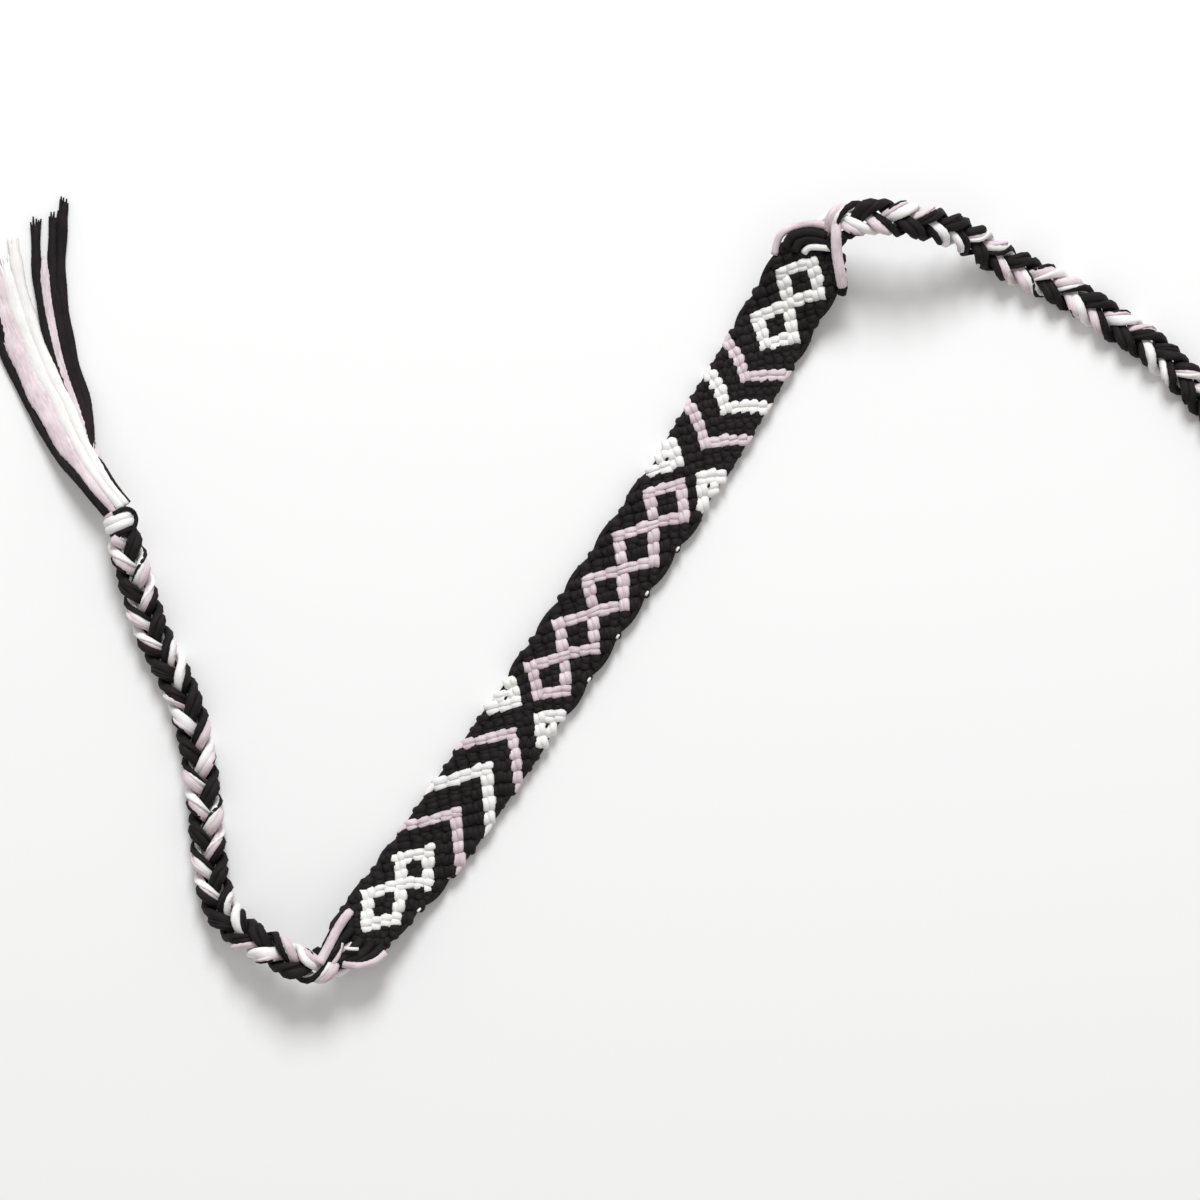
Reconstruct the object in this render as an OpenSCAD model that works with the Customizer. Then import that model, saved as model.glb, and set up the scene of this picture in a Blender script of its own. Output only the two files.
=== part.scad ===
// Knotted friendship bracelet, untied and lying on a flat surface.
// Millimetres, +Z up. The origin is the middle of the woven pattern, on the band's flat underside.
// +X runs along the band to its right end, +Y across it.

/* [Band] */
// Knots across the band
knot_columns = 9; // [7:2:11]
// Distance between neighbouring knot columns
column_pitch = 1.1; // [0.9:0.05:1.15]
// Thickness of the band over its knots
band_t = 2.2; // [1.6:0.1:2.6]
// Height of a knot above the hollow between knots
knot_relief = 0.5; // [0.2:0.05:0.8]
// How far an edge knot stands out past the hollow beside it
edge_scallop = 0.35; // [0.1:0.05:0.5]
// How far the edges of a row lag behind its middle
row_bow = 0.7; // [0:0.1:1]
// Share by which the band narrows at its left end
taper_left = 0.2; // [0:0.02:0.3]
// Lift of the band's left end off the surface
lift_left = 2.8; // [2:0.1:3.2]
// Lift of the band's right end off the surface
lift_right = 4; // [3:0.1:4.4]

/* [Braids] */
// Width of a strand in the braid
strand_w = 1.35; // [1.1:0.05:1.35]
// Thickness of a strand in the braid
strand_h = 1.25; // [0.9:0.05:1.25]
// Sideways swing of a strand from the braid's middle line
braid_swing = 1.5; // [1.45:0.05:1.6]
// Rise of a strand above the braid's middle line
braid_rise = 1.1; // [1.05:0.05:1.3]
// Length along the braid in which a strand comes back to the same place
braid_period = 11.5; // [11.5:0.5:15]
// Length in which the strands gather from the band's end into the braid
fan_len = 4; // [4:0.5:6]
// Width of a strand where it leaves the band
fan_w = 2.7; // [2:0.1:2.8]
// Thickness of a strand where it leaves the band
fan_h = 1.1; // [0.8:0.1:1.3]

/* [End knots] */
// Height of an end knot
knot_d = 4.1; // [3.6:0.1:4.2]
// Length of an end knot along the braid
knot_len = 4.4; // [4.4:0.1:5]
// Thickness of the string wrapped round the knot
wrap_d = 1.3; // [1:0.1:1.5]
// Slant of the wraps round the knot
wrap_slant = 10; // [10:2:24]
// Distance between neighbouring wraps
wrap_pitch = 0.8; // [0.5:0.1:0.8]

/* [Tassels] */
// Diameter of one cut string
lock_d = 1; // [0.7:0.05:1.1]
// Diameter of the bundle of strings behind the knot
head_d = 3.3; // [2.8:0.1:3.6]
// Length of that bundle
head_len = 1.4; // [1:0.1:2]
// Length in which the strings spread out of the bundle
spread_len = 16; // [12:1:20]

/* [Hidden] */

// Gap kept between neighbouring pieces
gap = 0.15;
black_floss = "#2a2627";
white_floss = "#efece9";
pink_floss = "#dfc9d4";

// Rows of knots are counted in half rows from the middle of the pattern
last_row = 53;
// One line for each station of the band: half row, place along X, place along Y
band_stations = [
    [-53, -56.4,  1.5],
    [-45, -47.9,  0.6],
    [-39, -41.8,  0.0],
    [-27, -28.6, -0.2],
    [-15, -16.7, -0.2],
    [  0,   0.0,  0.0],
    [ 15,  17.2,  0.0],
    [ 27,  28.8,  0.6],
    [ 39,  38.9,  1.2],
    [ 53,  52.6,  2.3]];
// Half rows in which an end of the band lifts off the surface
lift_rows = 12;
// Half rows in which the left end narrows
taper_rows = 18;
// Height of the band's rounded edge, as a share of its thickness
edge_height = 0.45;

mid_column = (knot_columns - 1) / 2;
left_end_z = lift_left + band_t / 2;
right_end_z = lift_right + band_t / 2;
braid_z = braid_rise + strand_h / 2 + 0.03;
knot_right_z = knot_d / 2 + 0.02;
knot_left_z = knot_right_z + 1.4;
lock_z = lock_d / 2 + 0.1;
fan_offset = column_pitch * knot_columns / 3;
strand_sides = 8;
strand_step = 1.25;
lock_sides = 6;
lock_step = 4;

// Middle line of each braid: along X, along Y, height
braid_left_route = [
    [-57.0,  1.6, left_end_z],
    [-59.3,  1.9, left_end_z + 0.7],
    [-61.8,  2.9, left_end_z + 1.4],
    [-63.6,  5.2, left_end_z + 1.8],
    [-64.0,  8.0, left_end_z + 1.8],
    [-64.4, 11.0, left_end_z + 1.2],
    [-64.7, 14.6, braid_z + 1.9],
    [-63.8, 18.4, braid_z + 0.8],
    [-61.5, 21.4, braid_z + 0.2],
    [-58.5, 24.2, braid_z],
    [-54.7, 27.2, braid_z],
    [-51.1, 30.4, braid_z],
    [-47.4, 33.8, braid_z],
    [-44.0, 37.8, braid_z],
    [-41.5, 41.7, braid_z],
    [-39.6, 45.3, braid_z],
    [-37.4, 48.6, braid_z + 0.2],
    [-34.8, 51.7, braid_z + 0.7],
    [-32.4, 54.5, knot_left_z - 0.3],
    [-30.5, 56.8, knot_left_z]];
braid_right_route = [
    [53.05,  2.3, right_end_z],
    [55.1,   2.5, right_end_z + 1.3],
    [57.5,   1.9, right_end_z + 3.0],
    [59.6,   0.0, right_end_z + 4.2],
    [61.3,  -2.5, right_end_z + 4.8],
    [62.8,  -5.3, right_end_z + 4.4],
    [64.2,  -8.4, right_end_z + 3.0],
    [65.3, -11.6, right_end_z + 1.2],
    [65.8, -15.0, braid_z + 2.3],
    [65.9, -18.6, braid_z + 0.9],
    [66.5, -22.3, braid_z + 0.2],
    [67.2, -26.5, braid_z],
    [67.5, -31.0, braid_z],
    [67.5, -36.0, braid_z],
    [67.7, -40.5, braid_z],
    [67.1, -45.0, braid_z],
    [66.2, -50.0, braid_z],
    [64.7, -55.0, braid_z],
    [62.7, -59.8, braid_z],
    [60.6, -64.2, knot_right_z]];

// Middle line of each tassel, from its end knot's outer face
tassel_left_route = [
    past_knot(braid_left_route, knot_len + gap),
    [-26.1, 64.6, knot_left_z],
    [-23.2, 70.7, lock_z + 1],
    [-19.1, 77.0, lock_z],
    [-13.8, 82.8, lock_z],
    [-8.0, 87.8, lock_z],
    [1.4, 93.8, lock_z]];
tassel_right_route = [
    past_knot(braid_right_route, knot_len + gap),
    [56.3, -72.2, knot_right_z],
    [52.6, -78.6, lock_z + 0.3],
    [48.2, -84.6, lock_z],
    [43.0, -90.0, lock_z],
    [37.2, -94.8, lock_z],
    [28.2, -100.0, lock_z]];

// One line for each cut string: place across after the spread, place across at the tip, length
tassel_strings = [
    [ 3.2,  9.0, 34],
    [ 2.4,  7.9, 35],
    [ 1.5,  7.0, 37],
    [-0.3,  5.0, 36],
    [-1.4,  3.4, 38.5],
    [-1.8, -0.5, 41],
    [-2.3, -1.9, 36.5],
    [-2.7, -3.1, 42],
    [-3.0, -3.6, 33],
    [-3.3, -4.4, 44]];

// Three small helpers: an eased step from 0 to 1, a unit vector, and a mix of two values
function ease(t) = let(x = max(0, min(1, t))) x * x * (3 - 2 * x);
function unit(v) = v / norm(v);
function mix(a, b, t) = a + (b - a) * t;

// Point on the smooth curve through the points p, a share t of the way from point i to the next
function curve_point(p, i, t) =
    let(a = p[max(i - 1, 0)], b = p[i], c = p[i + 1], d = p[min(i + 2, len(p) - 1)])
    0.5 * (2 * b + (c - a) * t + (2 * a - 5 * b + 4 * c - d) * t * t
           + (3 * b - a - 3 * c + d) * t * t * t);

// A rail is that curve cut fine, kept as three tables of length along it and one coordinate
curve_cuts = 6;
function cut_curve(p) =
    [for (i = [0 : len(p) - 2], k = [0 : curve_cuts - 1]) curve_point(p, i, k / curve_cuts),
     p[len(p) - 1]];
function lengths(q) =
    [for (i = 0, s = 0; i < len(q); s = s + (i + 1 < len(q) ? norm(q[i + 1] - q[i]) : 0), i = i + 1) s];
function rail(p) =
    let(q = cut_curve(p), s = lengths(q))
    [for (axis = [0 : 2]) [for (i = [0 : len(q) - 1]) [s[i], q[i][axis]]]];
function rail_length(r) = r[0][len(r[0]) - 1][0];
function rail_point(r, s) = [lookup(s, r[0]), lookup(s, r[1]), lookup(s, r[2])];
function rail_along(r, s) = unit(rail_point(r, s + 0.4) - rail_point(r, s - 0.4));
function rail_across(r, s) = let(d = rail_along(r, s)) unit([-d[1], d[0], 0]);
function rail_up(r, s) = cross(rail_along(r, s), rail_across(r, s));

// Level direction in which a route ends, and the point that far past the start of its end knot
function way_out(route) =
    let(n = len(route) - 1, d = route[n] - route[n - 1]) unit([d[0], d[1], 0]);
function past_knot(route, far) =
    route[len(route) - 1] + (gap + far) * way_out(route);

// Place on the band for a half row, from the stations, smoothly
function station_index(row, i = 0) =
    i >= len(band_stations) - 2 || row < band_stations[i + 1][0] ? i : station_index(row, i + 1);
function band_place(row) =
    let(i = station_index(row),
        t = (row - band_stations[i][0]) / (band_stations[i + 1][0] - band_stations[i][0]),
        p = curve_point(band_stations, i, t))
    [p[1], p[2], 0];
function band_along(row) =
    unit(band_place(min(row + 1, last_row)) - band_place(max(row - 1, -last_row)));
function band_lift(row) =
    (row < 0 ? lift_left : lift_right) * ease((abs(row) - last_row + lift_rows) / lift_rows);

// A point of the band: half row, distance across from the middle line, height over the underside
function band_point(row, across, up) =
    let(d = band_along(row), bow = row_bow * ease((last_row - abs(row)) / 6),
        lag = bow * pow(across / (mid_column * column_pitch), 2),
        kept = 1 - taper_left * ease((taper_rows - last_row - row) / taper_rows))
    band_place(row) + kept * across * [-d[1], d[0], 0] - lag * d + [0, 0, band_lift(row) + up];

// The closed outline of the band at one half row: knots stand up where column and row alternate
function is_knot(row, column) = (column + row + last_row + mid_column) % 2 == 0 ? 1 : 0;
function band_ring(row) =
    let(half = (mid_column + 0.5) * column_pitch,
        left = half - edge_scallop * (1 - is_knot(row, 0)),
        right = half - edge_scallop * (1 - is_knot(row, knot_columns - 1)),
        low = band_t - knot_relief)
    [band_point(row, -left * 0.93, 0),
     band_point(row, -left, band_t * edge_height),
     for (c = [0 : knot_columns - 1])
         band_point(row, (c - mid_column) * column_pitch,
                    (c == 0 || c == knot_columns - 1 ? low - knot_relief / 2 : low)
                    + knot_relief * is_knot(row, c)),
     band_point(row, right, band_t * edge_height),
     band_point(row, right * 0.93, 0)];

// A closed skin through a list of rings that have the same number of points
module skin(rings) {
    sides = len(rings[0]);
    last = len(rings) - 1;
    polyhedron(
        points = [for (r = rings, p = r) p],
        faces = [
            [for (k = [sides - 1 : -1 : 0]) k],
            for (i = [0 : last - 1], k = [0 : sides - 1])
                let(a = i * sides + k, b = i * sides + (k + 1) % sides)
                each [[a, b, b + sides], [a, b + sides, a + sides]],
            [for (k = [0 : sides - 1]) last * sides + k]]);
}

// An oval ring round the point at, square to the direction along
function oval_ring(at, along, wide, high, sides) =
    let(across = unit([-along[1], along[0], 0]), up = cross(along, across))
    [for (k = [0 : sides - 1]) let(a = 360 * (k + 0.5) / sides)
        at + cos(a) * wide / 2 * across - sin(a) * high / 2 * up];

// Middle line of one strand: it leaves the band at its own third, then weaves with the others.
// The share kept is 1 at the band's full width and less at its narrowed end
function strand_point(r, k, s, kept) =
    let(turn = 360 * max(0, s - fan_len) / braid_period + 120 * k,
        g = ease(s / fan_len),
        start = [0, fan_offset, -fan_offset][k] * kept)
    rail_point(r, s) + mix(start, braid_swing * sin(turn), g) * rail_across(r, s)
    + g * braid_rise * sin(2 * turn) * rail_up(r, s);

module strand(route, k, colour, kept = 1) {
    r = rail(route);
    steps = round(rail_length(r) / strand_step);
    color(colour) skin([for (i = [0 : steps])
        let(s = rail_length(r) * i / steps,
            g = ease(s / fan_len),
            own = unit(strand_point(r, k, s + 0.2, kept) - strand_point(r, k, s - 0.2, kept)),
            level = rail_across(r, s),
            inside = ease(min(s, rail_length(r) - s) / (2 * strand_step)),
            along = mix([level[1], -level[0], 0], own, inside))
        oval_ring(strand_point(r, k, s, kept), along,
                  mix(fan_w * kept, strand_w, g), mix(fan_h, strand_h, g), strand_sides)]);
}

// The knot: the gathered strings with three slanted wraps round them
module end_knot(route) {
    way = way_out(route);
    color(black_floss)
    translate(past_knot(route, knot_len / 2))
    rotate([0, 0, atan2(way[1], way[0])]) {
        rotate([0, 90, 0]) cylinder(h = knot_len, d = knot_d - wrap_d, center = true, $fn = 32);
        for (i = [-1 : 1])
            translate([i * wrap_pitch, 0, 0]) rotate([0, 90, wrap_slant]) wrap();
    }
}

module wrap() {
    rotate_extrude($fn = 32) translate([(knot_d - wrap_d) / 2, 0]) circle(d = wrap_d, $fn = 20);
}

// The loose strings: locks that leave the bundle behind the knot and settle on the surface
module tassel(route, way) {
    r = rail(route);
    color(black_floss) union() {
        translate(route[0]) rotate([0, 0, atan2(way[1], way[0])])
            rotate([0, 90, 0]) cylinder(h = head_len, d = head_d, $fn = 24);
        for (i = [0 : len(tassel_strings) - 1])
            lock(r, tassel_strings[i], 360 * i / len(tassel_strings));
    }
}

function lock_point(r, string, angle, s) =
    let(g = ease(s / spread_len), bundle = (head_d - lock_d) / 2,
        reach = rail_length(r),
        loose = mix(string[0], string[1], max(0, s - spread_len) / (reach - spread_len)))
    rail_point(r, s) + mix(bundle * cos(angle), loose, g) * rail_across(r, s)
    + [0, 0, (1 - ease(2 * s / spread_len)) * bundle * sin(angle)];

module lock(r, string, angle) {
    start = head_len * 0.4;
    steps = round((string[2] - start) / lock_step);
    skin([for (i = [0 : steps])
        let(s = mix(start, string[2], i / steps),
            along = unit(lock_point(r, string, angle, s + 0.2) - lock_point(r, string, angle, s - 0.2)))
        oval_ring(lock_point(r, string, angle, s), along, lock_d, lock_d, lock_sides)]);
}

module band() {
    color(black_floss) skin([for (row = [-last_row : last_row]) band_ring(row)]);
}

band();
strand(braid_left_route, 0, black_floss, 1 - taper_left);  // braid_left_1
strand(braid_left_route, 1, white_floss, 1 - taper_left);  // braid_left_2
strand(braid_left_route, 2, pink_floss, 1 - taper_left);  // braid_left_3
strand(braid_right_route, 0, black_floss);  // braid_right_1
strand(braid_right_route, 1, white_floss);  // braid_right_2
strand(braid_right_route, 2, pink_floss);  // braid_right_3
end_knot(braid_left_route);  // end_knot_left
end_knot(braid_right_route);  // end_knot_right
tassel(tassel_left_route, way_out(braid_left_route));  // tassel_left
tassel(tassel_right_route, way_out(braid_right_route));  // tassel_right
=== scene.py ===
"""A knotted friendship bracelet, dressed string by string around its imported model.

The band is about five hundred double half hitches on a diagonal lattice, each braid three flat
strands of floss, each end a wrapped knot and a tassel of cut strings. All shapes are grids of
points worked out as whole arrays: a tube is a ring of points carried along a path.
"""

from __future__ import annotations

import logging
import math
from dataclasses import dataclass, field
from enum import Enum
from typing import ClassVar

import bpy
import numpy as np
from mathutils import Matrix, Vector

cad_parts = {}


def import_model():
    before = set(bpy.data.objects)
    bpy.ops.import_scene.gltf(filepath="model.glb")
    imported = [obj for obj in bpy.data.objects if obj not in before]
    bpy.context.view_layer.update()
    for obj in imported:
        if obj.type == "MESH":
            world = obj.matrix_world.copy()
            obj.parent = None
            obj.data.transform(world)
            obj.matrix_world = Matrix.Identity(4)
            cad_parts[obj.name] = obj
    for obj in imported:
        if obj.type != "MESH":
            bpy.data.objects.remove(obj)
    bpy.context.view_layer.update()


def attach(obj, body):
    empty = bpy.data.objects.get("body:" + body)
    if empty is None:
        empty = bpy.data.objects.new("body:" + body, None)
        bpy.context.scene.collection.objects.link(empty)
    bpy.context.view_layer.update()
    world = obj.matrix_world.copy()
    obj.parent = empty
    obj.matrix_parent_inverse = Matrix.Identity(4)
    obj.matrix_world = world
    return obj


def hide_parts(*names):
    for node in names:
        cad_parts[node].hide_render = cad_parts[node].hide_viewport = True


MM = 0.001
BODY = "root"
FLOSS_UV = "floss"
SEED = 11
Array = np.ndarray
Colour = tuple[float, float, float]
Point = tuple[float, float, float]

UPRIGHT = np.array([0.0, 0.0, 1.0])
# Degrees at which the strings cross the band
DIAGONAL = 45.0
# Millimetres over which the floss's map is shifted from knot to knot
MAP_SPREAD = 400.0

log = logging.getLogger("bracelet")


class Floss(Enum):
    """The colours of floss; the value is the record's material slot."""

    BLACK = "black_floss"
    WHITE = "white_floss"
    PINK = "pink_floss"


BLACK, WHITE, PINK = Floss.BLACK, Floss.WHITE, Floss.PINK


class Side(Enum):
    """The two ends of the band, as the picture shows them."""

    LEFT = "left"
    RIGHT = "right"


class Turn(Enum):
    """How a string turns back at the band's edge: reach in half rows, bulge, lift."""

    CREST = (2.7, 0.34, 0.0)
    DIP = (1.9, -0.1, 0.0)
    PLAIN = (1.5, -0.02, 0.0)
    PALE = (1.55, 0.24, 0.1)


def ease(t: Array | float) -> Array:
    """An eased step from 0 to 1: three squares less two cubes of t."""
    x = np.clip(t, 0.0, 1.0)
    return x * x * (3.0 - 2.0 * x)


def mix(a: Array | float, b: Array | float, t: Array | float) -> Array:
    """The value a share t of the way from a to b."""
    return a + (b - a) * t


def unit(v: Array) -> Array:
    """Each vector along the last axis, scaled to length 1."""
    return v / np.maximum(np.linalg.norm(v, axis=-1, keepdims=True), 1e-12)


def squared(wave: Array, power: float) -> Array:
    """A sine or cosine made squarer: its size to a power below 1, with its sign kept."""
    return np.sign(wave) * np.abs(wave) ** power


def circle(number: int) -> Array:
    """Angles of a number of points spaced evenly round a circle, from 0."""
    return 2 * np.pi * np.arange(number) / number


def heights(z: Array) -> Array:
    """Points straight above the origin at the heights z."""
    return z[:, None] * UPRIGHT


def total_length(path: Array) -> Array:
    """Length along a path at each of its points, from 0."""
    steps = np.linalg.norm(np.diff(path, axis=0), axis=1)
    return np.concatenate([[0.0], np.cumsum(steps)])


def catmull(points: Array, index: Array, share: Array) -> Array:
    """A Catmull-Rom curve: the cubic through point i and i + 1 whose slopes join their neighbours.

    Args:
        points: The points that the curve passes through, one in each row.
        index: The number of the point before each sample.
        share: How far each sample lies on the way to the next point, from 0 to 1.

    Returns:
        One row for each sample.
    """
    last = len(points) - 1
    a, b = points[np.maximum(index - 1, 0)], points[index]
    c, d = points[index + 1], points[np.minimum(index + 2, last)]
    t = share[:, None]
    cubic = (3 * b - a - 3 * c + d) * t**3
    return 0.5 * (2 * b + (c - a) * t + (2 * a - 5 * b + 4 * c - d) * t**2 + cubic)


def linked(name: str, data: bpy.types.ID) -> bpy.types.Object:
    """A new object at the origin that holds the data, linked to the scene.

    Args:
        name: The object's name.
        data: Its mesh, lamp or camera.

    Returns:
        The object.
    """
    thing = bpy.data.objects.new(name, data)
    bpy.context.scene.collection.objects.link(thing)
    return thing


class Rail:
    """A smooth route in space, measured by its length, with the level and upright directions."""

    CUTS: ClassVar[int] = 12
    REACH: ClassVar[float] = 0.4

    def __init__(self, route: Array) -> None:
        """Cuts the curve through the route's points fine.

        Args:
            route: The points of the route in millimetres, one in each row.
        """
        spans = len(route) - 1
        index = np.repeat(np.arange(spans), self.CUTS)
        share = np.tile(np.arange(self.CUTS) / self.CUTS, spans)
        self.points = np.vstack([catmull(route, index, share), route[-1:]])
        self.lengths = total_length(self.points)
        self.length = float(self.lengths[-1])

    def point(self, s: Array) -> Array:
        """Points at the lengths s; before the start and past the end the line runs on straight.

        Args:
            s: Lengths along the route, which may lie outside it.

        Returns:
            One point in each row.
        """
        inside = np.clip(s, 0.0, self.length)
        at = np.stack([np.interp(inside, self.lengths, axis) for axis in self.points.T], axis=-1)
        first = unit(self.points[1] - self.points[0])
        final = unit(self.points[-1] - self.points[-2])
        before, after = np.minimum(s, 0.0)[:, None], np.maximum(s - self.length, 0.0)[:, None]
        return at + before * first + after * final

    def frame(self, s: Array) -> tuple[Array, Array, Array]:
        """Unit directions along the route, level across it, and upright, at the lengths s.

        Args:
            s: Lengths along the route.

        Returns:
            The three directions, each with one vector in each row.
        """
        along = unit(self.point(s + self.REACH) - self.point(s - self.REACH))
        across = unit(np.stack([-along[:, 1], along[:, 0], np.zeros(len(s))], axis=-1))
        return along, across, np.cross(along, across)


@dataclass
class Skein:
    """Tubes of one colour that become one mesh, kept as arrays until then."""

    floss: Floss
    corners: list[Array] = field(default_factory=list)
    faces: list[Array] = field(default_factory=list)
    maps: list[Array] = field(default_factory=list)
    count: int = 0

    def add(self, rings: Array, along: Array, closed: bool = False) -> None:
        """Adds a batch of tubes; each is a grid of rings that run the same way round.

        Args:
            rings: Points as tube, ring, side, coordinate, in millimetres.
            along: Length along the floss as tube, ring, in millimetres, with one more ring if closed.
            closed: Whether the last ring joins the first.
        """
        tubes, number, sides, _ = rings.shape
        spans = number if closed else number - 1
        counts = (np.arange(n) for n in (tubes, spans, sides))
        tube, ring, side = np.meshgrid(*counts, indexing="ij")
        near = self.count + (tube * number + ring) * sides
        far = self.count + (tube * number + (ring + 1) % number) * sides
        step = (side + 1) % sides
        quads = np.stack([near + side, near + step, far + step, far + side], axis=-1)
        here, there = along[tube, ring], along[tube, ring + 1]
        u = np.stack([here, here, there, there], axis=-1)
        v = np.stack([side, side + 1, side + 1, side], axis=-1) / sides
        self.corners.append(rings.reshape(-1, 3))
        self.faces.append(quads.reshape(-1, 4))
        self.maps.append(np.stack([u, v], axis=-1).reshape(-1, 2))
        if not closed:
            self._cap(tubes, number, sides, along)
        self.count += tubes * number * sides

    def _cap(self, tubes: int, number: int, sides: int, along: Array) -> None:
        """Closes both ends of each tube with one flat face.

        Args:
            tubes: Number of tubes.
            number: Rings in a tube.
            sides: Points in a ring.
            along: Length along the floss as tube, ring, in millimetres.
        """
        starts = self.count + np.arange(tubes)[:, None] * number * sides
        order = np.arange(sides)[None, :]
        first, final = starts + order[:, ::-1], starts + (number - 1) * sides + order
        for face, ring in ((first, 0), (final, number - 1)):
            self.faces.append(face)
            u = np.repeat(along[:, ring], sides)
            v = np.tile(np.arange(sides) / sides, tubes)
            self.maps.append(np.stack([u, v], axis=-1))

    def object(self, name: str) -> bpy.types.Object:
        """Turns the tubes into one mesh object at the origin, in metres, flat on the surface.

        Args:
            name: The name of the object and its mesh.

        Returns:
            The object, linked to the scene.
        """
        corners = np.concatenate(self.corners) * MM
        corners[:, 2] = np.maximum(corners[:, 2], 0.0)
        totals = np.concatenate([np.full(len(f), f.shape[1]) for f in self.faces])
        indices = np.concatenate([f.ravel() for f in self.faces])
        starts = np.concatenate([[0], np.cumsum(totals)[:-1]])
        mesh = bpy.data.meshes.new(name)
        mesh.vertices.add(len(corners))
        mesh.vertices.foreach_set("co", corners.astype(np.float32).ravel())
        mesh.loops.add(len(indices))
        mesh.loops.foreach_set("vertex_index", indices.astype(np.int32))
        mesh.polygons.add(len(totals))
        mesh.polygons.foreach_set("loop_start", starts.astype(np.int32))
        mesh.polygons.foreach_set("use_smooth", np.ones(len(totals), bool))
        layer = mesh.uv_layers.new(name=FLOSS_UV)
        layer.data.foreach_set("uv", np.concatenate(self.maps).astype(np.float32).ravel())
        mesh.update(calc_edges=True)
        mesh.validate()
        return linked(name, mesh)


@dataclass(frozen=True)
class String:
    """One length of six-ply floss: how thick it is, how its plies twist and how it ends.

    Attributes:
        radius: Half the string's thickness in millimetres.
        plies: Threads that lie round the string.
        ridge: Height of a ply over the groove beside it, as a share of the radius.
        pitch: Length in which the plies turn once round, in millimetres.
        sides: Points round the string.
        step: Distance between rings in millimetres.
    """

    radius: float
    plies: int = 6
    ridge: float = 0.1
    pitch: float = 9.0
    sides: int = 18
    step: float = 0.55

    def rings(
        self,
        path: Array,
        upright: Array,
        wide: Array | float = 1.0,
        tall: Array | float = 1.0,
        phase: float = 0.0,
    ) -> tuple[Array, Array]:
        """Carries an oval ring along a path: radius times one plus the ridges of the turning plies.

        Args:
            path: Middle line, one point in each row, in millimetres.
            upright: The direction at each point that the ring's top faces, roughly.
            wide: Factor on the radius across, one number or one for each point.
            tall: Factor on the radius upright, one number or one for each point.
            phase: Turn of the plies at the start, in turns.

        Returns:
            The rings of one tube, and the length along it.
        """
        along = unit(np.gradient(path, axis=0))
        across = unit(np.cross(upright, along))
        up = np.cross(along, across)
        s = total_length(path)
        angle = 2 * np.pi * (np.arange(self.sides) / self.sides - 0.25)
        turn = self.plies * (angle[None, :] / (2 * np.pi) + s[:, None] / self.pitch + phase)
        lobes = np.abs(np.cos(np.pi * turn))
        radius = self.radius * (1.0 + self.ridge * (lobes - 0.6))
        level = radius * np.broadcast_to(wide, s.shape)[:, None] * np.cos(angle)
        high = radius * np.broadcast_to(tall, s.shape)[:, None] * np.sin(angle)
        rings = path[:, None, :] + level[..., None] * across[:, None, :] + high[..., None] * up[:, None, :]
        return rings[None], s[None]


class Tree:
    """A material's nodes, each made with its inputs set or joined."""

    def __init__(self, material: bpy.types.Material) -> None:
        """Opens the node tree of a new material.

        Args:
            material: The new material.
        """
        material.use_nodes = True
        self.nodes = material.node_tree.nodes
        self.links = material.node_tree.links
        self.shader = self.nodes["Principled BSDF"]

    def fill(self, node: bpy.types.Node, inputs: dict[str, object]) -> None:
        """Gives a node its inputs: another node's socket is joined, and a plain value is set.

        Args:
            node: The node to fill.
            inputs: A socket or a value for each input's name.
        """
        for name, value in inputs.items():
            if isinstance(value, bpy.types.NodeSocket):
                self.links.new(value, node.inputs[name])
            else:
                node.inputs[name].default_value = value

    def add(self, kind: str, inputs: dict[str, object]) -> bpy.types.Node:
        """Adds a node of a kind with its inputs.

        Args:
            kind: The node's type.
            inputs: A socket or a value for each input's name.

        Returns:
            The node.
        """
        node = self.nodes.new(kind)
        self.fill(node, inputs)
        return node

    def noise(self, vector: bpy.types.NodeSocket, inputs: dict[str, float]) -> bpy.types.NodeSocket:
        """Adds soft noise read at a vector."""
        return self.add("ShaderNodeTexNoise", {"Vector": vector, **inputs}).outputs["Fac"]

    def blend(self, a: bpy.types.NodeSocket, b: bpy.types.NodeSocket, share: float) -> bpy.types.NodeSocket:
        """Mixes two levels, with a share of the second."""
        return self.add("ShaderNodeMix", {"Factor": share, "A": a, "B": b}).outputs["Result"]


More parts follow.
